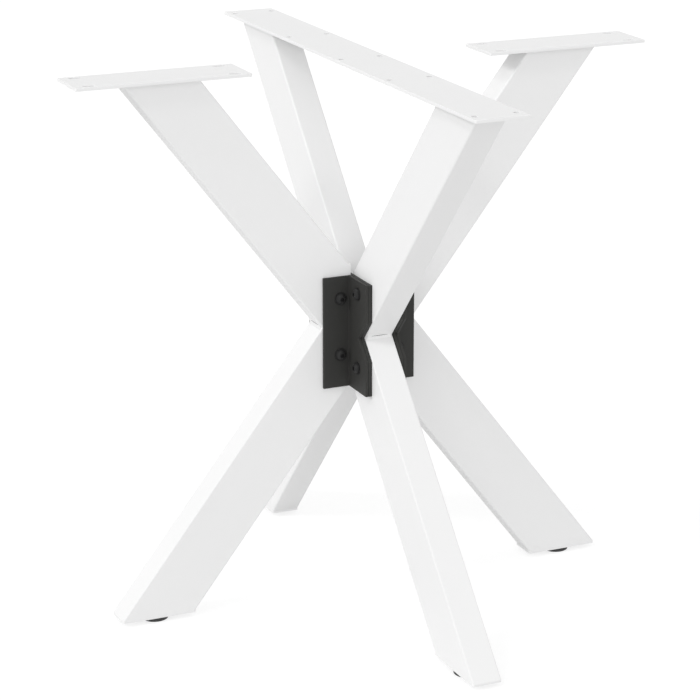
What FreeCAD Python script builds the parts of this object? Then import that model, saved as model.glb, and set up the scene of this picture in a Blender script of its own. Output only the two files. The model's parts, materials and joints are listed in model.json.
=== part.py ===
import FreeCAD, Part
import math
import os

import Sketcher

# A flat-pack steel table base. Four legs of rectangular tube, each bent like an arrowhead that points
# at the centre, meet with a cross plate on each side and are held by four angle brackets. Plates and
# brackets are notched along the knees of the front and rear legs. These two carry one long top plate,
# the left and right legs a short plate each. Every leg stands on a levelling foot.
# Origin: on the floor, in the middle. X runs to the right leg, Y to the rear leg, Z up.

os.makedirs("parts", exist_ok=True)
doc = FreeCAD.newDocument("table_base")

SIZES = [
    ("top_height", 720, "floor to the top of the plates"),
    ("tube_wide", 80, "wide side of the leg tube, in the plane of its leg"),
    ("tube_thick", 40, "narrow side of the leg tube"),
    ("tube_wall", 2, "wall of the leg tube"),
    ("tube_corner", 2.5, "outside corner radius of the leg tube"),
    ("leg_bottom", 6, "floor to the underside of the legs, feet screwed in"),
    ("end_plate_thick", 3, "plate that closes the lower end of a leg"),
    ("knee_plate_thick", 3, "plate that closes the cut back of a knee"),
    ("knee_height", 373.5, "left and right legs: floor to the knee"),
    ("main_knee_drop", 10, "the knees of the front and rear legs are lower by"),
    ("side_knee_out", 65, "left and right legs: centre to the outer corner of the knee"),
    ("side_top_out", 331, "left and right legs: centre to the outer edge at the top plate"),
    ("side_foot_out", 349, "left and right legs: centre to the outer edge at the end plate"),
    ("main_knee_out", 53, "front and rear legs: centre to the outer corner of the knee"),
    ("main_top_out", 367, "front and rear legs: centre to the outer edge at the top plate"),
    ("main_foot_out", 377, "front and rear legs: centre to the outer edge at the end plate"),
    ("plate_thick", 4, "top plates"),
    ("plate_corner", 2, "corner radius of the top plates"),
    ("long_plate_length", 784, "long plate, along Y"),
    ("long_plate_width", 72, "long plate, along X"),
    ("long_hole_dia", 7, "screw holes of the long plate"),
    ("long_hole_rows", 54, "between the two rows of holes of the long plate"),
    ("long_hole_inset", 21, "end of the long plate to its first hole"),
    ("long_hole_rear", 176, "centre to the hole between the middle and the rear end"),
    ("long_hole_middle", 5, "centre to the middle hole"),
    ("long_hole_front", 141, "centre to the hole between the middle and the front end"),
    ("short_plate_length", 230, "short plates, along X"),
    ("short_plate_width", 72, "short plates, along Y"),
    ("short_plate_end", 395, "centre to the outer end of a short plate"),
    ("slot_length", 16, "slots of the short plates, end to end"),
    ("slot_width", 7, "slots of the short plates"),
    ("slot_rows", 54, "between the two rows of slots"),
    ("slot_inset", 20, "end of a short plate to the middle of its slots"),
    ("cross_plate_thick", 5, "cross plate between the side legs and the front and rear legs"),
    ("bracket_thick", 4, "angle bracket"),
    ("bracket_height", 150, "angle bracket and cross plate"),
    ("bracket_drop", 7.5, "half the height of the bracket is below the side knees by"),
    ("bracket_long", 57, "long flange, from the side of the left or right leg"),
    ("bracket_root", 1, "radius between the two flanges"),
    ("side_bolt_out", 41, "centre to the bolts in the left and right legs"),
    ("side_bolt_gap", 76, "between the two bolts of a short flange"),
    ("main_bolt_out", 51, "centre to the bolts in the front and rear legs"),
    ("main_bolt_gap", 100, "between the two bolts of a long flange"),
    ("bolt_dia", 8, "bracket bolts"),
    ("bolt_length", 20, "bracket bolts, under the head"),
    ("bolt_head_dia", 14, "button head"),
    ("bolt_head_height", 4.4, "button head"),
    ("bolt_head_rim", 0.8, "straight rim of the button head"),
    ("bolt_head_flat", 7, "flat on top of the button head, diameter"),
    ("bolt_socket", 5, "hexagon socket of the button head, across flats"),
    ("bolt_socket_depth", 2.6, "hexagon socket of the button head"),
    ("bolt_play", 0.5, "play round a bolt in its bracket hole and washer"),
    ("washer_dia", 16, "washer under a bolt head"),
    ("washer_thick", 1.6, "washer under a bolt head"),
    ("rivnut_dia", 11, "sleeve of a rivet nut"),
    ("rivnut_bulge_dia", 15, "crimped bulge of a rivet nut, behind the tube wall"),
    ("rivnut_bulge", 4, "length of the crimped bulge"),
    ("rivnut_length", 14, "rivet nut, from the outside of the tube"),
    ("thread_gap", 0.05, "clearance round a thread or a sleeve"),
    ("foot_dia", 36, "disc of a levelling foot"),
    ("foot_edge", 1, "chamfer round the underside of the disc"),
    ("foot_stop_gap", 0.3, "disc to the end plate, foot screwed in"),
    ("stud_dia", 8, "threaded stud of a foot"),
    ("stud_length", 38, "floor to the tip of the stud, foot screwed in"),
    ("stud_floor", 1.5, "plastic under the head of the stud"),
    ("stud_head_dia", 16, "head of the stud, inside the disc"),
    ("stud_head_thick", 2, "head of the stud"),
    ("stud_chamfer", 1, "tip of the stud"),
    ("foot_nut_flats", 13, "weld nut on the end plate, across flats"),
    ("foot_nut_height", 6.5, "weld nut on the end plate"),
]

sheet = doc.addObject("Spreadsheet::Sheet", "Sizes")
for row, (alias, number, note) in enumerate(SIZES, start=1):
    sheet.set(f"A{row}", note)
    sheet.set(f"B{row}", str(number))
    sheet.setAlias(f"B{row}", alias)
doc.recompute()


X_AXIS, Y_AXIS, Z_AXIS = FreeCAD.Vector(1, 0, 0), FreeCAD.Vector(0, 1, 0), FreeCAD.Vector(0, 0, 1)
TINY = 0.001


def cell(alias):
    return f"Sizes.{alias}"


def value(expression):
    """The number that an expression on the sheet comes to now."""
    found = sheet.evalExpression(expression)
    return float(getattr(found, "Value", found))


def new_body(label):
    body = doc.addObject("PartDesign::Body", label)
    body.Label = label
    return body


def new_sketch(body, plane, name, offset=None):
    """A sketch on one of the body's own origin planes, moved along its normal if offset is given."""
    sketch = body.newObject("Sketcher::SketchObject", f"{body.Name}_{name}")
    support = next(f for f in body.Origin.OriginFeatures if f.Role == plane)
    sketch.AttachmentSupport = (support, "")
    sketch.MapMode = "FlatFace"
    if offset:
        sketch.setExpression("AttachmentOffset.Base.z", offset)
    return sketch


def hold(sketch, kind, *where, size):
    """One dimension of a sketch, bound to an expression."""
    index = sketch.addConstraint(Sketcher.Constraint(kind, *where, value(size)))
    sketch.setExpression(f"Constraints[{index}]", size)


def hold_point(sketch, geometry, point, across, upward):
    hold(sketch, "DistanceX", -1, 1, geometry, point, size=across)
    hold(sketch, "DistanceY", -1, 1, geometry, point, size=upward)


def dome(start, end):
    """An arc from start up to end, with its centre on the sketch's vertical axis."""
    centre = FreeCAD.Vector(0, (end.dot(end) - start.dot(start)) / (2 * (end.y - start.y)), 0)
    angles = [math.atan2(point.y - centre.y, point.x) for point in (start, end)]
    return Part.ArcOfCircle(Part.Circle(centre, Z_AXIS, (start - centre).Length), *angles)


def outline(sketch, corners, domed=None):
    """A closed outline of straight lines. Each corner is a pair of expressions. The side after the
    corner numbered domed, if there is one, is a dome instead."""
    first = sketch.GeometryCount
    points = [FreeCAD.Vector(value(across), value(upward), 0) for across, upward in corners]
    count = len(points)
    for index in range(count):
        ends = points[index], points[(index + 1) % count]
        sketch.addGeometry(dome(*ends) if index == domed else Part.LineSegment(*ends), False)
    for index in range(count):
        following = first + (index + 1) % count
        sketch.addConstraint(Sketcher.Constraint("Coincident", first + index, 2, following, 1))
    for index, (across, upward) in enumerate(corners):
        hold_point(sketch, first + index, 1, across, upward)
    if domed is not None:
        sketch.addConstraint(Sketcher.Constraint("PointOnObject", first + domed, 3, -2))


def circle(sketch, across, upward, radius):
    centre = FreeCAD.Vector(value(across), value(upward), 0)
    made = sketch.addGeometry(Part.Circle(centre, Z_AXIS, value(radius)), False)
    hold_point(sketch, made, 3, across, upward)
    hold(sketch, "Radius", made, size=radius)


def hexagon(sketch, flats):
    """A hexagon about the origin, from its width across flats."""
    corner = f"({flats} / sqrt(3))"
    half = f"({flats} / 2)"
    ring = [(corner, "0"), (f"{corner} / 2", half), (f"-{corner} / 2", half),
            (f"-{corner}", "0"), (f"-{corner} / 2", f"-{half}"), (f"{corner} / 2", f"-{half}")]
    outline(sketch, ring)


def slot(sketch, across, upward, length, width):
    """A slot along the sketch's first axis: two half circles and two straight sides."""
    radius = f"({width} / 2)"
    reach = f"(({length} - {width}) / 2)"
    middle = FreeCAD.Vector(value(across), value(upward), 0)
    left, right = middle - X_AXIS * value(reach), middle + X_AXIS * value(reach)
    up = Y_AXIS * value(radius)
    quarter = math.pi / 2
    left_circle, right_circle = Part.Circle(left, Z_AXIS, up.Length), Part.Circle(right, Z_AXIS, up.Length)
    end = sketch.addGeometry(Part.ArcOfCircle(left_circle, quarter, 3 * quarter), False)
    start = sketch.addGeometry(Part.ArcOfCircle(right_circle, -quarter, quarter), False)
    top = sketch.addGeometry(Part.LineSegment(left + up, right + up), False)
    bottom = sketch.addGeometry(Part.LineSegment(left - up, right - up), False)
    sketch.addConstraint(Sketcher.Constraint("Tangent", end, 1, top, 1))
    sketch.addConstraint(Sketcher.Constraint("Tangent", end, 2, bottom, 1))
    sketch.addConstraint(Sketcher.Constraint("Tangent", top, 2, start, 2))
    sketch.addConstraint(Sketcher.Constraint("Tangent", bottom, 2, start, 1))
    hold_point(sketch, end, 3, f"{across} - {reach}", upward)
    hold_point(sketch, start, 3, f"{across} + {reach}", upward)
    hold(sketch, "Radius", end, size=radius)


def pad(body, sketch, length, name="pad", both_ways=False):
    feature = body.newObject("PartDesign::Pad", f"{body.Name}_{name}")
    feature.Profile = sketch
    feature.setExpression("Length", length)
    feature.SideType = "Symmetric" if both_ways else "One side"
    doc.recompute()
    return feature


def pocket(body, sketch, length, name):
    """A cut that reaches half of length to each side of its sketch."""
    before = body.Shape.Volume
    feature = body.newObject("PartDesign::Pocket", f"{body.Name}_{name}")
    feature.Profile = sketch
    feature.SideType = "Symmetric"
    feature.setExpression("Length", length)
    doc.recompute()
    if not body.Shape.Volume < before:
        raise RuntimeError(f"{feature.Name} cuts nothing")
    return feature


def revolve(body, sketch):
    """A full turn about the body's own Z axis, which is the sketch's vertical."""
    feature = body.newObject("PartDesign::Revolution", f"{body.Name}_turn")
    feature.Profile = sketch
    feature.ReferenceAxis = (sketch, ["V_Axis"])
    feature.Angle = 360
    doc.recompute()
    return feature


def fillet(body, base, radius, name, wanted):
    """Rounds the edges of base for which wanted(edge) is true."""
    names = [f"Edge{number}" for number, edge in enumerate(base.Shape.Edges, start=1) if wanted(edge)]
    if not names:
        raise RuntimeError(f"{body.Name} has no edge for {name}")
    feature = body.newObject("PartDesign::Fillet", f"{body.Name}_{name}")
    feature.Base = (base, names)
    feature.setExpression("Radius", radius)
    doc.recompute()
    return feature


def direction_of(edge):
    first, last = edge.Vertexes[0].Point, edge.Vertexes[-1].Point
    return (last - first).normalize()


def straight_along(edge, direction):
    """True for a straight edge that runs along direction."""
    if not isinstance(edge.Curve, Part.Line) or len(edge.Vertexes) < 2:
        return False
    return abs(direction_of(edge).dot(direction)) > 0.99999


def middle_of(edge):
    return (edge.Vertexes[0].Point + edge.Vertexes[-1].Point) * 0.5


HALF_TUBE = f"({cell('tube_thick')} / 2)"
LOWER_END = f"({cell('leg_bottom')} + {cell('end_plate_thick')})"
UPPER_END = f"({cell('top_height')} - {cell('plate_thick')})"

KNEE_HEIGHT = {"side": cell("knee_height"), "main": f"({cell('knee_height')} - {cell('main_knee_drop')})"}

# Where a knee is closed: the left and right legs stop at the cross plates on the sides of the front and
# rear legs, and the front and rear legs stop at the middle, back to back.
KNEE_FACE = {"side": f"({HALF_TUBE} + {cell('cross_plate_thick')})", "main": "0"}

# The lower edge of the brackets and cross plates, and how far along Y they reach.
BRACKET_BOTTOM = f"({cell('knee_height')} - {cell('bracket_drop')} - {cell('bracket_height')} / 2)"
BRACKET_REACH = f"({HALF_TUBE} + {cell('bracket_long')})"
BOLT_HOLE = f"({cell('bolt_dia')} / 2 + {cell('bolt_play')})"

# What lies between the tube of a leg and the washers on it.
CLAMPED = {"side": cell("bracket_thick"), "main": f"({cell('cross_plate_thick')} + {cell('bracket_thick')})"}

# Each leg is drawn in the XZ plane, pointing along +X, and turned about Z to face its own way.
LEGS = [("right", "side", X_AXIS), ("left", "side", -X_AXIS),
        ("rear", "main", Y_AXIS), ("front", "main", -Y_AXIS)]


class Limb:
    """Expressions for one half of a leg, upper or lower, in the plane of the leg."""

    def __init__(self, kind, half):
        self.knee_out = cell(f"{kind}_knee_out")
        self.knee_height = KNEE_HEIGHT[kind]
        self.end_out = cell(f"{kind}_top_out" if half == "upper" else f"{kind}_foot_out")
        self.end_height = UPPER_END if half == "upper" else LOWER_END
        self.sign = "+" if half == "upper" else "-"
        rise = f"abs({self.end_height} - {self.knee_height})"
        self.run = f"(({self.end_out} - {self.knee_out}) / {rise})"
        self.stretch = f"sqrt(1 + {self.run} * {self.run})"
        self.footprint = f"({cell('tube_wide')} * {self.stretch})"
        self.cut = f"({KNEE_FACE[kind]} + {cell('knee_plate_thick')})"
        rise_to_cut = f"(({self.cut} + {self.footprint} - {self.knee_out}) / {self.run})"
        self.cut_height = f"({self.knee_height} {self.sign} {rise_to_cut})"
        self.end_middle = f"({self.end_out} - {self.footprint} / 2)"
        self.bolt_out = cell(f"{kind}_bolt_out")
        self.bolt_height = f"({cell('knee_height')} {self.sign} {cell(f'{kind}_bolt_gap')} / 2)"

    def corners(self):
        """The side view: knee, outer edge, foot or top, inner edge, cut back of the knee."""
        return [(self.knee_out, self.knee_height), (self.end_out, self.end_height),
                (f"{self.end_out} - {self.footprint}", self.end_height),
                (self.cut, self.cut_height), (self.cut, self.knee_height)]

    def bore_corners(self):
        """The inside of the tube, run on past both of its ends."""
        over = cell("tube_wide")
        wall = f"{cell('tube_wall')} * {self.stretch}"
        back = "-" if self.sign == "+" else "+"
        low = f"({self.knee_height} {back} {over})"
        high = f"({self.end_height} {self.sign} {over})"
        near = f"({self.knee_out} - {self.run} * {over})"
        far = f"({self.end_out} + {self.run} * {over})"
        return [(f"{near} - {wall}", low), (f"{far} - {wall}", high),
                (f"{far} - {self.footprint} + {wall}", high), (f"{near} - {self.footprint} + {wall}", low)]

    def direction(self):
        rise = value(self.end_height) - value(self.knee_height)
        return FreeCAD.Vector(value(self.end_out) - value(self.knee_out), 0, rise).normalize()


def turned(body, facing):
    """Turns a body about Z, so that what was drawn along +X faces another way."""
    angle = math.degrees(math.atan2(facing.y, facing.x))
    body.Placement = FreeCAD.Placement(FreeCAD.Vector(0, 0, 0), FreeCAD.Rotation(Z_AXIS, angle))
    return body


def leg_tube(leg, kind, half, facing):
    """One tube of a leg: mitred at the knee, cut upright at the back of the knee, level at its end."""
    limb = Limb(kind, half)
    body = new_body(f"leg_{leg}_{half}")
    side = new_sketch(body, "XZ_Plane", "side")
    outline(side, limb.corners())
    solid = pad(body, side, cell("tube_thick"), both_ways=True)
    along = limb.direction()
    outside = fillet(body, solid, cell("tube_corner"), "corners", lambda edge: straight_along(edge, along))

    inside = new_sketch(body, "XZ_Plane", "inside")
    outline(inside, limb.bore_corners())
    bored = pocket(body, inside, f"{cell('tube_thick')} - 2 * {cell('tube_wall')}", "bore")
    inner_face = value(HALF_TUBE) - value(cell("tube_wall"))

    def in_bore(edge):
        return straight_along(edge, along) and abs(abs(middle_of(edge).y) - inner_face) < TINY \
            and not touches_outside(edge, limb)

    fillet(body, bored, f"{cell('tube_corner')} - {cell('tube_wall')}", "bore_corners", in_bore)

    holes = new_sketch(body, "XZ_Plane", "rivnut_holes")
    circle(holes, limb.bolt_out, limb.bolt_height, f"{cell('rivnut_dia')} / 2 + {cell('thread_gap')}")
    pocket(body, holes, f"2 * {cell('tube_thick')}", "rivnut_hole")
    return turned(body, facing)


def touches_outside(edge, limb):
    """True where an edge lies on the wide faces' outer corners and not in the bore."""
    point = middle_of(edge)
    across = limb.direction().cross(Y_AXIS)
    knee = FreeCAD.Vector(value(limb.knee_out), 0, value(limb.knee_height))
    depth = abs((point - knee).dot(across))
    wall = value(cell("tube_wall"))
    wide = value(cell("tube_wide"))
    return min(abs(depth - wall), abs(depth - wide + wall)) > TINY


def knee_plate(leg, kind, facing):
    """The plate welded over the cut back of a knee."""
    upper, lower = Limb(kind, "upper"), Limb(kind, "lower")
    body = new_body(f"knee_plate_{leg}")
    face = new_sketch(body, "YZ_Plane", "face", offset=KNEE_FACE[kind])
    outline(face, [(f"-{HALF_TUBE}", lower.cut_height), (HALF_TUBE, lower.cut_height),
                   (HALF_TUBE, upper.cut_height), (f"-{HALF_TUBE}", upper.cut_height)])
    solid = pad(body, face, cell("knee_plate_thick"))
    fillet(body, solid, cell("tube_corner"), "corners", lambda edge: straight_along(edge, X_AXIS))
    return turned(body, facing)


def end_plate(leg, kind, facing):
    """The plate welded under a leg, tapped for the stud of its foot."""
    limb = Limb(kind, "lower")
    body = new_body(f"end_plate_{leg}")
    face = new_sketch(body, "XY_Plane", "face", offset=cell("leg_bottom"))
    inner = f"({limb.end_out} - {limb.footprint})"
    outline(face, [(inner, f"-{HALF_TUBE}"), (limb.end_out, f"-{HALF_TUBE}"),
                   (limb.end_out, HALF_TUBE), (inner, HALF_TUBE)])
    solid = pad(body, face, cell("end_plate_thick"))
    fillet(body, solid, cell("tube_corner"), "corners", lambda edge: straight_along(edge, Z_AXIS))
    hole = new_sketch(body, "XY_Plane", "hole")
    circle(hole, limb.end_middle, "0", f"{cell('stud_dia')} / 2 + {cell('thread_gap')}")
    pocket(body, hole, f"4 * ({cell('leg_bottom')} + {cell('end_plate_thick')})", "thread")
    return turned(body, facing)


def top_plate(label, low, high, width, along_y):
    """A flat plate under the table top, with its corners rounded. low and high are its two ends."""
    body = new_body(label)
    face = new_sketch(body, "XY_Plane", "face", offset=UPPER_END)
    half = f"({width} / 2)"
    corners = [(low, f"-{half}"), (high, f"-{half}"), (high, half), (low, half)]
    outline(face, [(up, across) for across, up in corners] if along_y else corners)
    solid = pad(body, face, cell("plate_thick"))
    fillet(body, solid, cell("plate_corner"), "corners", lambda edge: straight_along(edge, Z_AXIS))
    return body


def long_plate():
    half = f"({cell('long_plate_length')} / 2)"
    body = top_plate("long_top_plate", f"-{half}", half, cell("long_plate_width"), along_y=True)
    end = f"({half} - {cell('long_hole_inset')})"
    places = [end, cell("long_hole_rear"), cell("long_hole_middle"), f"-{cell('long_hole_front')}", f"-{end}"]
    holes = new_sketch(body, "XY_Plane", "holes")
    for side in ("-", ""):
        for place in places:
            circle(holes, f"{side}{cell('long_hole_rows')} / 2", place, f"{cell('long_hole_dia')} / 2")
    pocket(body, holes, f"4 * {cell('top_height')}", "screw_holes")
    return body


def short_plate(leg, facing):
    """The plate of the left or right leg, slotted so that the wooden top can move."""
    outer = cell("short_plate_end")
    inner = f"({outer} - {cell('short_plate_length')})"
    body = top_plate(f"short_top_plate_{leg}", inner, outer, cell("short_plate_width"), along_y=False)
    slots = new_sketch(body, "XY_Plane", "slots")
    length, width = cell("slot_length"), cell("slot_width")
    for side in ("-", ""):
        row = f"{side}{cell('slot_rows')} / 2"
        slot(slots, f"({inner} + {cell('slot_inset')})", row, length, width)
        slot(slots, f"({outer} - {cell('slot_inset')})", row, length, width)
    pocket(body, slots, f"4 * {cell('top_height')}", "slots")
    return turned(body, facing)


def notch(body, signs):
    """Cuts a flange or plate back to the knee of the front or rear leg that it lies on, at the ends that
    signs names."""
    view = new_sketch(body, "YZ_Plane", "notch")
    tip, height, over = cell("main_knee_out"), KNEE_HEIGHT["main"], cell("bracket_long")
    rise, fall = (f"{over} / {Limb('main', half).run}" for half in ("upper", "lower"))
    for sign in signs:
        mouth = f"{sign}({tip} + {over})"
        outline(view, [(f"{sign}{tip}", height), (mouth, f"{height} - {fall}"), (mouth, f"{height} + {rise}")])
    pocket(body, view, f"4 * {cell('side_knee_out')}", "notch")


def cross_plate(leg, facing):
    """The plate between the knee of a left or right leg and the sides of the front and rear legs."""
    body = new_body(f"cross_plate_{leg}")
    face = new_sketch(body, "YZ_Plane", "face", offset=HALF_TUBE)
    top = f"({BRACKET_BOTTOM} + {cell('bracket_height')})"
    outline(face, [(f"-{BRACKET_REACH}", BRACKET_BOTTOM), (BRACKET_REACH, BRACKET_BOTTOM),
                   (BRACKET_REACH, top), (f"-{BRACKET_REACH}", top)])
    pad(body, face, cell("cross_plate_thick"))
    holes = new_sketch(body, "YZ_Plane", "holes")
    for half in ("upper", "lower"):
        main = Limb("main", half)
        for sign in ("-", ""):
            circle(holes, f"{sign}{main.bolt_out}", main.bolt_height, BOLT_HOLE)
    pocket(body, holes, f"4 * {cell('side_knee_out')}", "holes")
    notch(body, ("-", ""))
    return turned(body, facing)


def bracket(label, mirrored, facing):
    """An angle. The short flange lies on a left or right leg and ends at its knee, the long one lies on
    a cross plate and ends at the knee of a front or rear leg."""
    flip = "-" if mirrored else ""
    body = new_body(label)
    face = new_sketch(body, "XY_Plane", "face", offset=BRACKET_BOTTOM)
    heel = KNEE_FACE["side"]
    long_face = f"({heel} + {cell('bracket_thick')})"
    short_face = f"({HALF_TUBE} + {cell('bracket_thick')})"
    short_end = cell("side_knee_out")
    outline(face, [(f"{flip}{across}", upward) for across, upward in (
        (heel, HALF_TUBE), (short_end, HALF_TUBE), (short_end, short_face),
        (long_face, short_face), (long_face, BRACKET_REACH), (heel, BRACKET_REACH))])
    solid = pad(body, face, cell("bracket_height"))
    root = FreeCAD.Vector(value(f"{flip}{long_face}"), value(short_face), 0)

    def at_root(edge):
        point = middle_of(edge)
        return straight_along(edge, Z_AXIS) and abs(point.x - root.x) < TINY and abs(point.y - root.y) < TINY

    fillet(body, solid, cell("bracket_root"), "root", at_root)

    side_view = new_sketch(body, "XZ_Plane", "short_holes")
    end_view = new_sketch(body, "YZ_Plane", "long_holes")
    for half in ("upper", "lower"):
        side, main = Limb("side", half), Limb("main", half)
        circle(side_view, f"{flip}{side.bolt_out}", side.bolt_height, BOLT_HOLE)
        circle(end_view, main.bolt_out, main.bolt_height, BOLT_HOLE)
    reach = f"4 * {short_end}"
    pocket(body, side_view, reach, "short_hole")
    pocket(body, end_view, reach, "long_hole")
    notch(body, ("",))
    return turned(body, facing)


def bolt_master():
    """A button head screw: axis Z, underside of the head at zero, shank downwards."""
    body = new_body("bolt_master")
    half_view = new_sketch(body, "XZ_Plane", "half")
    shank = f"{cell('bolt_dia')} / 2"
    head = f"{cell('bolt_head_dia')} / 2"
    height = cell("bolt_head_height")
    tip = f"-{cell('bolt_length')}"
    profile = [("0", tip), (shank, tip), (shank, "0"), (head, "0"), (head, cell("bolt_head_rim")),
               (f"{cell('bolt_head_flat')} / 2", height), ("0", height)]
    outline(half_view, profile, domed=4)
    revolve(body, half_view)
    key = new_sketch(body, "XY_Plane", "socket", offset=height)
    hexagon(key, cell("bolt_socket"))
    pocket(body, key, f"2 * {cell('bolt_socket_depth')}", "socket")
    return body


def ring_master(label, rings):
    """A turned ring: axis Z. rings are (radius, height) expressions round its half section."""
    body = new_body(label)
    half_view = new_sketch(body, "XZ_Plane", "half")
    outline(half_view, rings)
    revolve(body, half_view)
    return body


def washer_master():
    rim, thick = f"{cell('washer_dia')} / 2", cell("washer_thick")
    return ring_master("washer_master", [(BOLT_HOLE, "0"), (rim, "0"), (rim, thick), (BOLT_HOLE, thick)])


def rivnut_master():
    """A rivet nut, flush with the outside of its wall, its sleeve crimped behind the wall."""
    bore = f"({cell('bolt_dia')} / 2 + {cell('thread_gap')})"
    sleeve, bulge = f"{cell('rivnut_dia')} / 2", f"{cell('rivnut_bulge_dia')} / 2"
    wall = f"-{cell('tube_wall')}"
    behind = f"-{cell('tube_wall')} - {cell('rivnut_bulge')}"
    end = f"-{cell('rivnut_length')}"
    return ring_master("rivnut_master", [(bore, "0"), (bore, end), (sleeve, end), (sleeve, behind),
                                         (bulge, f"{wall} - {cell('rivnut_bulge')} / 2"),
                                         (sleeve, wall), (sleeve, "0")])


def nut_master():
    body = new_body("nut_master")
    face = new_sketch(body, "XY_Plane", "face")
    hexagon(face, cell("foot_nut_flats"))
    circle(face, "0", "0", f"{cell('stud_dia')} / 2 + {cell('thread_gap')}")
    pad(body, face, cell("foot_nut_height"))
    return body


def copy_of(master, label, axis, place):
    """A copy of a master, its Z turned to axis and its origin at place, three expressions."""
    link = doc.addObject("App::Link", label)
    link.LinkedObject = master
    link.Placement = FreeCAD.Placement(FreeCAD.Vector(0, 0, 0), FreeCAD.Rotation(Z_AXIS, axis))
    for coordinate, expression in zip("xyz", place):
        link.setExpression(f"Placement.Base.{coordinate}", expression)
    return link


def group(label, copies):
    compound = doc.addObject("Part::Compound", label)
    compound.Links = copies
    compound.Label = label
    return compound


def at_bolts(label, master, stand_off):
    """One copy at each bolt. stand_off is how far out from the side of the tube it begins, for the bolts
    in the side legs and for those in the main ones."""
    copies = []
    side_out, main_out = (f"({HALF_TUBE} + {stand_off[kind]})" for kind in ("side", "main"))
    for sx in (1, -1):
        for sy in (1, -1):
            x_sign, y_sign = ("" if s > 0 else "-" for s in (sx, sy))
            for half in ("upper", "lower"):
                side, main = Limb("side", half), Limb("main", half)
                name = f"{label}_{len(copies)}"
                copies.append(copy_of(master, name, Y_AXIS * sy,
                                      (f"{x_sign}{side.bolt_out}", f"{y_sign}{side_out}", side.bolt_height)))
                name = f"{label}_{len(copies)}"
                copies.append(copy_of(master, name, X_AXIS * sx,
                                      (f"{x_sign}{main_out}", f"{y_sign}{main.bolt_out}", main.bolt_height)))
    return group(label, copies)


def foot_place(kind, facing):
    """Expressions for the point on the floor under the middle of a leg's lower end."""
    out = Limb(kind, "lower").end_middle
    return f"{int(facing.x)} * {out}", f"{int(facing.y)} * {out}"


def seated_at(body, kind, facing):
    for coordinate, expression in zip("xy", foot_place(kind, facing)):
        body.setExpression(f"Placement.Base.{coordinate}", expression)
    return body


FOOT_TOP = f"({cell('leg_bottom')} - {cell('foot_stop_gap')})"
STUD_HEAD_TOP = f"({cell('stud_floor')} + {cell('stud_head_thick')})"


def foot_disc(leg, kind, facing):
    """The plastic disc of a foot, moulded round the head of its stud."""
    rim, edge = f"{cell('foot_dia')} / 2", cell("foot_edge")
    head, stud = f"{cell('stud_head_dia')} / 2", f"{cell('stud_dia')} / 2"
    floor = cell("stud_floor")
    rings = [("0", "0"), (f"{rim} - {edge}", "0"), (rim, edge), (rim, FOOT_TOP), (stud, FOOT_TOP),
             (stud, STUD_HEAD_TOP), (head, STUD_HEAD_TOP), (head, floor), ("0", floor)]
    return seated_at(ring_master(f"foot_disc_{leg}", rings), kind, facing)


def foot_stud(leg, kind, facing):
    """The steel stud of a foot, with the flat head that the disc is moulded on."""
    head, stud = f"{cell('stud_head_dia')} / 2", f"{cell('stud_dia')} / 2"
    tip, top, floor = cell("stud_chamfer"), cell("stud_length"), cell("stud_floor")
    rings = [("0", floor), (head, floor), (head, STUD_HEAD_TOP), (stud, STUD_HEAD_TOP),
             (stud, f"{top} - {tip}"), (f"{stud} - {tip}", top), ("0", top)]
    return seated_at(ring_master(f"foot_stud_{leg}", rings), kind, facing)


pieces = []
for leg_name, leg_kind, leg_facing in LEGS:
    for leg_half in ("upper", "lower"):
        pieces.append(leg_tube(leg_name, leg_kind, leg_half, leg_facing))
    pieces.append(knee_plate(leg_name, leg_kind, leg_facing))
    pieces.append(end_plate(leg_name, leg_kind, leg_facing))
    pieces.append(foot_disc(leg_name, leg_kind, leg_facing))
    pieces.append(foot_stud(leg_name, leg_kind, leg_facing))

pieces.append(long_plate())
pieces.append(short_plate("right", X_AXIS))
pieces.append(short_plate("left", -X_AXIS))

pieces.append(cross_plate("right", X_AXIS))
pieces.append(cross_plate("left", -X_AXIS))
pieces.append(bracket("bracket_rear_right", False, X_AXIS))
pieces.append(bracket("bracket_rear_left", True, X_AXIS))
pieces.append(bracket("bracket_front_left", False, -X_AXIS))
pieces.append(bracket("bracket_front_right", True, -X_AXIS))

bolt, washer, rivnut, nut = bolt_master(), washer_master(), rivnut_master(), nut_master()
pieces.append(at_bolts("rivet_nuts", rivnut, {"side": "0", "main": "0"}))
pieces.append(at_bolts("bracket_washers", washer, CLAMPED))
pieces.append(at_bolts("bracket_bolts", bolt,
                       {kind: f"({thick} + {cell('washer_thick')})" for kind, thick in CLAMPED.items()}))
pieces.append(group("foot_nuts", [
    copy_of(nut, f"foot_nut_{leg_name}", Z_AXIS, (*foot_place(leg_kind, leg_facing), LOWER_END))
    for leg_name, leg_kind, leg_facing in LEGS]))

doc.recompute()

for thing in doc.Objects:
    if {"Invalid", "Error"} & set(thing.State):
        raise RuntimeError(f"{thing.Label} did not build: {thing.State}")
for piece in pieces:
    if piece.Shape.isNull() or not piece.Shape.isValid() or not piece.Shape.Solids:
        raise RuntimeError(f"{piece.Label} has no sound solid")
for piece in pieces:
    piece.Shape.exportStep(f"parts/{piece.Label}.step")
    print(piece.Label, len(piece.Shape.Solids), round(piece.Shape.Volume / 1000, 2), "cm3")
print(len(pieces), "pieces")
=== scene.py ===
import json
import math

import bmesh
import bpy
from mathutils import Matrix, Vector
from mathutils.geometry import convex_hull_2d


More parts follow.
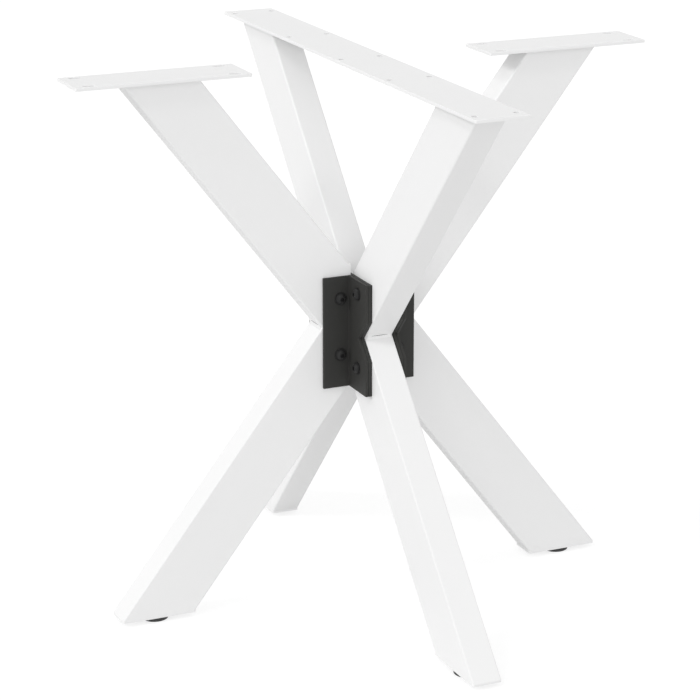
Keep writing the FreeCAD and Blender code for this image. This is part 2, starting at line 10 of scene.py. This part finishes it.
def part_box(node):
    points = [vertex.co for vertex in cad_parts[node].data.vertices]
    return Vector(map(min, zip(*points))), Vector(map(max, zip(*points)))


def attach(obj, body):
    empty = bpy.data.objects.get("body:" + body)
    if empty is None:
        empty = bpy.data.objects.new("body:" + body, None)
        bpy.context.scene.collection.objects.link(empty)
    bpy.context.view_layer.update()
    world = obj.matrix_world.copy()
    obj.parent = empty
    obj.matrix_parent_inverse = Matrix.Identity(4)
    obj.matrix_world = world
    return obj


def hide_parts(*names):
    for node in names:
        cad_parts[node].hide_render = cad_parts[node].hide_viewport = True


# The looks of the steel table base: powder coat, blackened bolts, weld beads, threads and moulded feet on
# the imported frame, in a white studio. Lengths are in metres, Z is up, and the floor is at zero.

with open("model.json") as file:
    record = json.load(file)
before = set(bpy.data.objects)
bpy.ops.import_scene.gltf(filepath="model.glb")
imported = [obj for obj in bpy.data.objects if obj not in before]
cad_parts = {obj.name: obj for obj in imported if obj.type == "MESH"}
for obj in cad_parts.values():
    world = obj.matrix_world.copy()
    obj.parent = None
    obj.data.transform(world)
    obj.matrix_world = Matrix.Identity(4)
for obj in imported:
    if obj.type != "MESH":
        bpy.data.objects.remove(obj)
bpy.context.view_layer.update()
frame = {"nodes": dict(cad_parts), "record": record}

FACING = {
    "right": Vector((1, 0, 0)),
    "left": Vector((-1, 0, 0)),
    "rear": Vector((0, 1, 0)),
    "front": Vector((0, -1, 0)),
}
UP = Vector((0, 0, 1))
TOUCH = 1e-5

# The camera, from a pinhole fit to the photograph's straight edges.
LENS_MM, SENSOR_MM = 129.98, 36
AZIMUTH, ELEVATION, DISTANCE = -24.06, 17.5, 3.3346
LOOK_AT = Vector((-0.017, 0, 0.3317))

# The studs of the feet.
STUD_RADIUS, THREAD_PITCH, THREAD_DEPTH = 0.004, 0.00125, 0.0006
THREAD_SLOPE = 2.2

# The bead in the corner between a leg and its top plate.
BEAD_RADIUS, BEAD_RIPPLE, BEAD_STEP = 0.0021, 0.00018, 0.0006
BEAD_SIDES, BEAD_RIPPLE_STEPS = 10, 5

# The weld of a knee: half its length along the knee, its reach up and down the legs, its thickness over the
# knee's edge and the depth of its root in the steel. Its surface has faint ripples.
WELD_HALF, WELD_UP, WELD_DOWN, WELD_THROAT, WELD_ROOT = 0.0172, 0.0070, 0.0040, 0.0011, 0.0006
WELD_RIPPLE, WELD_RIPPLE_STEPS = 0.00005, 3.5

# A dark strip along that weld, which paints the shade of a seam in it: half its length, half its width at the
# ends and what the middle adds to it, its place across the weld from zero to one, how it wavers, and its two
# edges above and below the surface.
SEAM_HALF, SEAM_LEAST, SEAM_WIDE = 0.0112, 0.0001, 0.00026
SEAM_PLACE, SEAM_WAVER, SEAM_WAVES = 0.7, 0.006, 5
SEAM_OVER, SEAM_UNDER = 0.00012, 0.0004

# The rounded corners of the tubes: how far their shading turns to the flat sides, from zero to one. A side
# spans at least SIDE_SHARE of the widest one. A corner's facet has CORNER_LEAST square metres, which the
# wall of a hole doesn't reach, and it faces along the tube by ALONG_MOST at most.
CRISP = 0.5
SIDE_SHARE, CORNER_LEAST, ALONG_MOST = 0.2, 0.000005, 0.01

# Edges that turn by more than SHARP degrees are broken. Faces that turn by less than FLAT are one face.
SHARP, FLAT = 40, 0.5
PLATE_EDGE, BRACKET_EDGE = 0.0005, 0.0006

# Painted shade: between these two shares of open sky a coat goes from its shade colour to its own.
FULL_SHADE_SHARE, OPEN_SHARE = 0.45, 0.85
BUMP_DEPTH = 0.0001


# Shader helpers

def new_material(name):
    """A node material, with its node tree and its Principled shader."""
    made = bpy.data.materials.new(name)
    made.use_nodes = True
    tree = made.node_tree
    return made, tree, tree.nodes["Principled BSDF"]


def add(tree, kind, inputs=None, **settings):
    """A node with its settings, and its inputs either linked or set by name or number."""
    node = tree.nodes.new(kind)
    for key, setting in settings.items():
        setattr(node, key, setting)
    for key, source in (inputs or {}).items():
        if isinstance(source, bpy.types.NodeSocket):
            tree.links.new(source, node.inputs[key])
        else:
            node.inputs[key].default_value = source
    return node


def noise(tree, scale, detail=2.0):
    """Noise in the object's own space. The scale is in bumps to the metre."""
    place = add(tree, "ShaderNodeTexCoord").outputs["Object"]
    return add(tree, "ShaderNodeTexNoise", {"Vector": place, "Scale": scale, "Detail": detail}).outputs["Fac"]


def spread(tree, source, middle, swing):
    """Stretches a noise value, about 0.3 to 0.7, to run from middle - swing to middle + swing."""
    ends = {"From Min": 0.3, "From Max": 0.7, "To Min": middle - swing, "To Max": middle + swing}
    return add(tree, "ShaderNodeMapRange", {"Value": source, **ends}).outputs["Result"]


def blend_colours(tree, factor, first, second):
    """first at factor zero, second at one. Each is a colour or a socket."""
    colours = [c if isinstance(c, bpy.types.NodeSocket) else (*c, 1) for c in (first, second)]
    return add(tree, "ShaderNodeMix", {0: factor, 6: colours[0], 7: colours[1]}, data_type="RGBA").outputs[2]


def bumped(tree, height, strength):
    inputs = {"Height": height, "Strength": strength, "Distance": BUMP_DEPTH}
    return add(tree, "ShaderNodeBump", inputs).outputs["Normal"]


def powder_coat(name, pale, deep, painted_shade, peel, roughness, shine, reach=0.008, alone=True):
    """A coat on steel: its fine peel, a slow drift of its thickness, and painted shade. A darker colour is
    laid where ambient occlusion finds little open sky: inside holes narrower than reach and, unless alone is
    set, in the joints between two pieces."""
    made, tree, shader = new_material(name)
    shader.inputs["Specular IOR Level"].default_value = shine
    drift = noise(tree, 9.0, 3.0)
    fine = noise(tree, peel, 3.0)
    # Painted shade: the less open sky within reach, the more of the shade colour.
    sky = add(tree, "ShaderNodeAmbientOcclusion", {"Distance": reach},
              only_local=alone, samples=8).outputs["AO"]
    shares = {"Value": sky, "From Min": FULL_SHADE_SHARE, "From Max": OPEN_SHARE}
    openness = add(tree, "ShaderNodeMapRange", shares).outputs["Result"]
    coat = blend_colours(tree, drift, deep, pale)
    shown = blend_colours(tree, openness, painted_shade, coat)
    tree.links.new(shown, shader.inputs["Base Color"])
    tree.links.new(spread(tree, fine, roughness, 0.05), shader.inputs["Roughness"])
    tree.links.new(bumped(tree, fine, 0.25), shader.inputs["Normal"])
    return made


def bare_metal(name, colour, other, roughness, streaks):
    """Plated steel: small changes of tone and a fine grain."""
    made, tree, shader = new_material(name)
    shader.inputs["Metallic"].default_value = 1.0
    cloud = noise(tree, streaks, 4.0)
    tree.links.new(blend_colours(tree, cloud, colour, other), shader.inputs["Base Color"])
    tree.links.new(spread(tree, cloud, roughness, 0.07), shader.inputs["Roughness"])
    tree.links.new(bumped(tree, noise(tree, 2600.0), 0.12), shader.inputs["Normal"])
    return made


def moulded_plastic(name, colour, other, roughness):
    """Plastic with the fine grain of its mould."""
    made, tree, shader = new_material(name)
    grain = noise(tree, 1900.0, 3.0)
    tree.links.new(blend_colours(tree, grain, colour, other), shader.inputs["Base Color"])
    tree.links.new(spread(tree, grain, roughness, 0.06), shader.inputs["Roughness"])
    tree.links.new(bumped(tree, grain, 0.3), shader.inputs["Normal"])
    return made


# The third colour of each coat is painted shade, which darkens the walls of holes and sockets, and on the
# black coat also the joints where pieces meet.
MATERIALS = {
    "white_powder_coat": powder_coat("white_powder_coat", (0.87, 0.87, 0.87), (0.85, 0.85, 0.85),
                                     painted_shade=(0.56, 0.56, 0.56), peel=900.0, roughness=0.5, shine=0.48),
    "black_powder_coat": powder_coat("black_powder_coat", (0.034, 0.034, 0.032), (0.029, 0.029, 0.027),
                                     painted_shade=(0.008, 0.008, 0.008), peel=1400.0, roughness=0.6, shine=0.3,
                                     reach=0.002, alone=False),
    "black_steel": powder_coat("black_steel", (0.022, 0.022, 0.022), (0.017, 0.017, 0.017),
                               painted_shade=(0.016, 0.016, 0.016), peel=2200.0, roughness=0.55, shine=0.25),
    "zinc_plated_steel": bare_metal("zinc_plated_steel", (0.62, 0.62, 0.65), (0.52, 0.53, 0.56),
                                    roughness=0.27, streaks=400.0),
    "foot_plastic": moulded_plastic("foot_plastic", (0.03, 0.03, 0.03), (0.022, 0.022, 0.022), roughness=0.5),
}


def dress_frame():
    """Gives every CAD node the material of its slot."""
    for part in frame["record"]["subparts"]:
        node = frame["nodes"][part["node"]]
        node.data.materials.clear()
        node.data.materials.append(MATERIALS[part["material_slot"]])


def tight_corners(node):
    """Turns the shading of a tube's rounded upward corners towards the flat side that each facet is nearest
    to, so that they look as crisp as in the photograph. The shape stays."""
    mesh = frame["nodes"][node].data
    spans = {}
    for face in mesh.polygons:
        toward = tuple(round(part, 3) for part in face.normal)
        spans[toward] = spans.get(toward, 0.0) + face.area
    least = SIDE_SHARE * max(spans.values())
    sides = [Vector(toward).normalized() for toward, span in spans.items() if span > least]
    along = max((sides[0].cross(side) for side in sides), key=lambda way: way.length)
    shades = [corner.vector.copy() for corner in mesh.corner_normals]
    for face in mesh.polygons:
        if face.normal.z > 0 and face.area > CORNER_LEAST and abs(face.normal.dot(along)) < ALONG_MOST:
            side = max(sides, key=face.normal.dot)
            for loop in face.loop_indices:
                shades[loop] = shades[loop].lerp(side, CRISP).normalized()
    mesh.normals_split_custom_set(shades)


# Pieces

def new_piece(name, mesh, slot, body):
    """Puts a finished bmesh in the scene, riding on a body with the material of a slot."""
    data = bpy.data.meshes.new(name)
    mesh.to_mesh(data)
    mesh.free()
    data.materials.append(MATERIALS[slot])
    data.shade_smooth()
    piece = bpy.data.objects.new(name, data)
    bpy.context.scene.collection.objects.link(piece)
    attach(piece, body)
    return piece


def grid(rings, closed_rings, closed_ends):
    """A bmesh skin over rings of points that have one length each. closed_rings joins the last ring to
    the first, and closed_ends puts a face over the first and last ring."""
    mesh = bmesh.new()
    rows = [[mesh.verts.new(point) for point in ring] for ring in rings]
    pairs = list(zip(rows, rows[1:])) + ([(rows[-1], rows[0])] if closed_rings else [])
    for low, high in pairs:
        for index in range(len(low)):
            following = (index + 1) % len(low)
            mesh.faces.new((low[index], low[following], high[following], high[index]))
    if closed_ends:
        mesh.faces.new(reversed(rows[0]))
        mesh.faces.new(rows[-1])
    bmesh.ops.recalc_face_normals(mesh, faces=mesh.faces)
    return mesh


def evenly(outline, step):
    """Points at equal steps round a closed flat outline."""
    lengths = [(outline[(i + 1) % len(outline)] - point).length for i, point in enumerate(outline)]
    count = round(sum(lengths) / step)
    stride = sum(lengths) / count
    found, walked, side = [], 0.0, 0
    for number in range(count):
        wanted = number * stride
        while walked + lengths[side] < wanted:
            walked += lengths[side]
            side += 1
        start, end = outline[side], outline[(side + 1) % len(outline)]
        found.append(start.lerp(end, (wanted - walked) / lengths[side]))
    return found


def plate_weld(leg):
    """The bead round the top of a leg, in the corner between its tube and the plate."""
    tube = frame["nodes"][f"leg_{leg}_upper"].data.vertices
    seat = max(vertex.co.z for vertex in tube)
    rim = [vertex.co.to_2d() for vertex in tube if seat - vertex.co.z < TOUCH]
    path = evenly([rim[index] for index in convex_hull_2d(rim)], BEAD_STEP)
    turns = [math.tau * side / BEAD_SIDES for side in range(BEAD_SIDES)]
    rings = []
    for index, point in enumerate(path):
        along = (path[(index + 1) % len(path)] - path[index - 1]).normalized()
        outward = Vector((along.y, -along.x, 0))
        radius = BEAD_RADIUS + BEAD_RIPPLE * math.cos(math.tau * index / BEAD_RIPPLE_STEPS)
        centre = Vector((point.x, point.y, seat))
        rings.append([centre + radius * (math.cos(turn) * outward + math.sin(turn) * UP) for turn in turns])
    new_piece(f"plate_weld_{leg}", grid(rings, True, False), "white_powder_coat", "frame")


def eased(node, slot, size):
    """A flat CAD piece with its sharp edges broken, in place of its node."""
    mesh = bmesh.new()
    mesh.from_mesh(frame["nodes"][node].data)
    bmesh.ops.remove_doubles(mesh, verts=mesh.verts, dist=TOUCH)
    bmesh.ops.dissolve_limit(mesh, angle_limit=math.radians(FLAT), verts=mesh.verts, edges=mesh.edges)
    sharp = [edge for edge in mesh.edges if edge.calc_face_angle(0.0) > math.radians(SHARP)]
    bmesh.ops.bevel(mesh, geom=sharp, offset=size, offset_type="OFFSET", segments=2, profile=0.5,
                    affect="EDGES", clamp_overlap=False)
    for edge in mesh.edges:
        edge.smooth = edge.calc_face_angle(0.0) < math.radians(SHARP) / 2
    piece = new_piece(f"eased_{node}", mesh, slot, "frame")
    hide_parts(node)


def outermost(points, height, facing):
    """The point on a leg's outer edge at a height."""
    out = max(point.dot(facing) for point in points if abs(point.z - height) < TOUCH)
    return out * facing + height * UP


def knee_weld(leg):
    """The weld in the valley of a knee, smoothed before coating, with a dark strip on it that paints the
    shade of a seam.
    """
    facing = FACING[leg]
    across = UP.cross(facing)
    upper = [vertex.co for vertex in frame["nodes"][f"leg_{leg}_upper"].data.vertices]
    lower = [vertex.co for vertex in frame["nodes"][f"leg_{leg}_lower"].data.vertices]
    knee = outermost(upper, min(point.z for point in upper), facing)
    rise = (outermost(upper, max(point.z for point in upper), facing) - knee).normalized()
    fall = (outermost(lower, min(point.z for point in lower), facing) - knee).normalized()
    middle = knee + WELD_THROAT * facing
    low, high = knee + WELD_DOWN * fall, knee + WELD_UP * rise
    root = WELD_ROOT * facing
    buried = [high - root, knee - 2 * root, low - root]

    def on_weld(t):
        return (1 - t) ** 2 * low + 2 * t * (1 - t) * middle + t * t * high

    steps, stations = 10, 70
    rings = []
    for index in range(stations + 1):
        along = index / stations * 2 - 1
        ripple = WELD_RIPPLE * math.cos(math.tau * index / WELD_RIPPLE_STEPS) * facing
        face = [on_weld(step / steps) + math.sin(math.pi * step / steps) * ripple
                for step in range(steps + 1)]
        rings.append([point + WELD_HALF * along * across for point in face + buried])
    new_piece(f"knee_weld_{leg}", grid(rings, False, True), "white_powder_coat", "frame")

    # A dark strip standing just proud of the weld: painted shade of the seam.
    stations = 40
    rings = []
    for index in range(stations + 1):
        along = index / stations * 2 - 1
        t = SEAM_PLACE + SEAM_WAVER * math.sin(SEAM_WAVES * along)
        slope = (on_weld(t + 0.01) - on_weld(t - 0.01)).normalized()
        outward = slope.cross(across) if slope.cross(across).dot(facing) > 0 else across.cross(slope)
        half = SEAM_LEAST + SEAM_WIDE * (1 - along * along)
        centre = on_weld(t) + SEAM_HALF * along * across
        corners = ((-1, SEAM_OVER), (1, SEAM_OVER), (1, -SEAM_UNDER), (-1, -SEAM_UNDER))
        rings.append([centre + side * half * slope + lift * outward for side, lift in corners])
    new_piece(f"knee_seam_shade_{leg}", grid(rings, False, True), "black_steel", "frame")


def lathe(centre, profile, turns=72):
    """A solid turned about the upright through centre. profile is a list of (radius, height) from the
    bottom to the top, with its ends on or near the axis."""
    angles = [math.tau * index / turns for index in range(turns)]
    rings = [[Vector((centre.x + radius * math.cos(angle), centre.y + radius * math.sin(angle), height))
              for angle in angles] for radius, height in profile]
    return grid(rings, False, True)


def quarter(radius, height, size, first, last, steps=5):
    """Profile points on a rounded edge about (radius, height), from angle first to last in degrees."""
    turns = [math.radians(first + (last - first) * index / steps) for index in range(steps + 1)]
    return [(radius + size * math.cos(turn), height + size * math.sin(turn)) for turn in turns]


def foot_disc(leg):
    """The moulded disc: rounded edges, and a low collar on its top round the stud."""
    node = f"foot_disc_{leg}"
    low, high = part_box(node)
    centre = (low + high) / 2
    rim = (high.x - low.x) / 2
    under, over, collar, collar_height = 0.0010, 0.0014, 0.0075, 0.0006
    profile = [(0.0005, low.z)]
    profile += quarter(rim - under, low.z + under, under, -90, 0)
    profile += quarter(rim - over, high.z - over - collar_height, over, 0, 80)
    profile += [(collar + 0.0012, high.z - 0.0005), (collar + 0.0004, high.z - 0.0003), (collar, high.z),
                (STUD_RADIUS + 0.0002, high.z), (STUD_RADIUS - THREAD_DEPTH, high.z - 0.0003)]
    piece = new_piece(f"levelling_disc_{leg}", lathe(centre, profile), "foot_plastic", f"{leg}_foot")
    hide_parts(node)


def foot_stud(leg):
    """The stud, with its thread cut as a helix and its first turn worn in to a point."""
    node = f"foot_stud_{leg}"
    low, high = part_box(node)
    centre = (low + high) / 2
    around, steps_a_turn = 32, 8
    count = round((high.z - low.z) / THREAD_PITCH * steps_a_turn)
    rings = []
    for step in range(count + 1):
        height = low.z + (high.z - low.z) * step / count
        tip = min(1.0, (high.z - height) / THREAD_PITCH)
        ring = []
        for index in range(around):
            turn = index / around
            phase = ((height - low.z) / THREAD_PITCH - turn) % 1.0
            depth = THREAD_DEPTH * min(1.0, THREAD_SLOPE * abs(phase - 0.5))
            radius = STUD_RADIUS - depth - (1.0 - tip) * THREAD_DEPTH
            ring.append(Vector((centre.x + radius * math.cos(math.tau * turn),
                                centre.y + radius * math.sin(math.tau * turn), height)))
        rings.append(ring)
    piece = new_piece(f"threaded_stud_{leg}", grid(rings, False, True), "zinc_plated_steel", f"{leg}_foot")
    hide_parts(node)


# Studio

def seen_directly(tree):
    """One for camera, mirror and see-through rays, and zero for the rays that carry light."""
    rays = add(tree, "ShaderNodeLightPath").outputs
    mirror = add(tree, "ShaderNodeMath", {0: rays["Is Camera Ray"], 1: rays["Is Glossy Ray"]},
                 operation="MAXIMUM").outputs[0]
    return add(tree, "ShaderNodeMath", {0: mirror, 1: rays["Is Transmission Ray"]},
               operation="MAXIMUM").outputs[0]


def studio_floor(albedo, size=30.0, shadow_share=0.3, glow_strength=1.1):
    """A pale floor that the camera sees as white, with the object's shadow on it."""
    mesh = bmesh.new()
    bmesh.ops.create_grid(mesh, x_segments=1, y_segments=1, size=size)
    data = bpy.data.meshes.new("floor")
    mesh.to_mesh(data)
    mesh.free()
    floor = bpy.data.objects.new("floor", data)
    bpy.context.scene.collection.objects.link(floor)
    made = bpy.data.materials.new("floor")
    made.use_nodes = True
    tree = made.node_tree
    tree.nodes.clear()
    matte = add(tree, "ShaderNodeBsdfDiffuse", {"Color": (albedo, albedo, albedo, 1)}).outputs[0]
    bright = add(tree, "ShaderNodeBsdfDiffuse", {"Color": (1, 1, 1, 1)}).outputs[0]
    glow = add(tree, "ShaderNodeEmission", {"Color": (1, 1, 1, 1), "Strength": glow_strength}).outputs[0]
    seen = add(tree, "ShaderNodeMixShader", {0: shadow_share, 1: glow, 2: bright}).outputs[0]
    shown = add(tree, "ShaderNodeMixShader", {0: seen_directly(tree), 1: matte, 2: seen}).outputs[0]
    add(tree, "ShaderNodeOutputMaterial", {"Surface": shown})
    data.materials.append(made)


def studio_world(level):
    """Soft light from all round at a level, and plain white to the camera and in mirrors."""
    world = bpy.data.worlds.new("studio")
    world.use_nodes = True
    bpy.context.scene.world = world
    tree = world.node_tree
    tree.nodes.clear()
    soft = add(tree, "ShaderNodeBackground", {"Color": (1, 1, 1, 1), "Strength": level}).outputs[0]
    white = add(tree, "ShaderNodeBackground", {"Color": (1, 1, 1, 1), "Strength": 1.0}).outputs[0]
    shown = add(tree, "ShaderNodeMixShader", {0: seen_directly(tree), 1: soft, 2: white}).outputs[0]
    add(tree, "ShaderNodeOutputWorld", {"Surface": shown})


def distant_light(name, toward, strength, spread_angle, glints=False):
    """Even light from one side, as from a softbox far off. spread_angle is how wide it looks, in degrees,
    and without glints no surface mirrors it."""
    light = bpy.data.lights.new(name, "SUN")
    light.energy, light.angle = strength, math.radians(spread_angle)
    lamp = bpy.data.objects.new(name, light)
    bpy.context.scene.collection.objects.link(lamp)
    lamp.visible_glossy = glints
    lamp.rotation_mode = "QUATERNION"
    lamp.rotation_quaternion = (-Vector(toward)).to_track_quat("-Z", "Y")


def photograph_camera():
    azimuth, elevation = math.radians(AZIMUTH), math.radians(ELEVATION)
    back = Vector((math.sin(azimuth) * math.cos(elevation), -math.cos(azimuth) * math.cos(elevation),
                   math.sin(elevation)))
    data = bpy.data.cameras.new("camera")
    data.lens, data.sensor_width = LENS_MM, SENSOR_MM
    camera = bpy.data.objects.new("camera", data)
    bpy.context.scene.collection.objects.link(camera)
    camera.location = LOOK_AT + DISTANCE * back
    camera.rotation_mode = "QUATERNION"
    camera.rotation_quaternion = (-back).to_track_quat("-Z", "Y")
    bpy.context.scene.camera = camera


dress_frame()
for leg in FACING:
    tight_corners(f"leg_{leg}_lower")
    plate_weld(leg)
    knee_weld(leg)
    foot_disc(leg)
    foot_stud(leg)

for plate in ("long_top_plate", "short_top_plate_left", "short_top_plate_right"):
    eased(plate, "white_powder_coat", PLATE_EDGE)
for holder in ("cross_plate_left", "cross_plate_right", "bracket_rear_right", "bracket_rear_left",
               "bracket_front_left", "bracket_front_right"):
    eased(holder, "black_powder_coat", BRACKET_EDGE)

studio_floor(albedo=0.79)
studio_world(0.71)
distant_light("left_light", (-0.866, 0, 0.5), 0.84, 12)
distant_light("high_light", (-0.601, -0.353, 0.716), 0.31, 12, glints=True)
distant_light("front_light", (-0.15, -0.95, 0.28), 0.55, 30)
photograph_camera()
bpy.context.scene.view_settings.view_transform = "Standard"
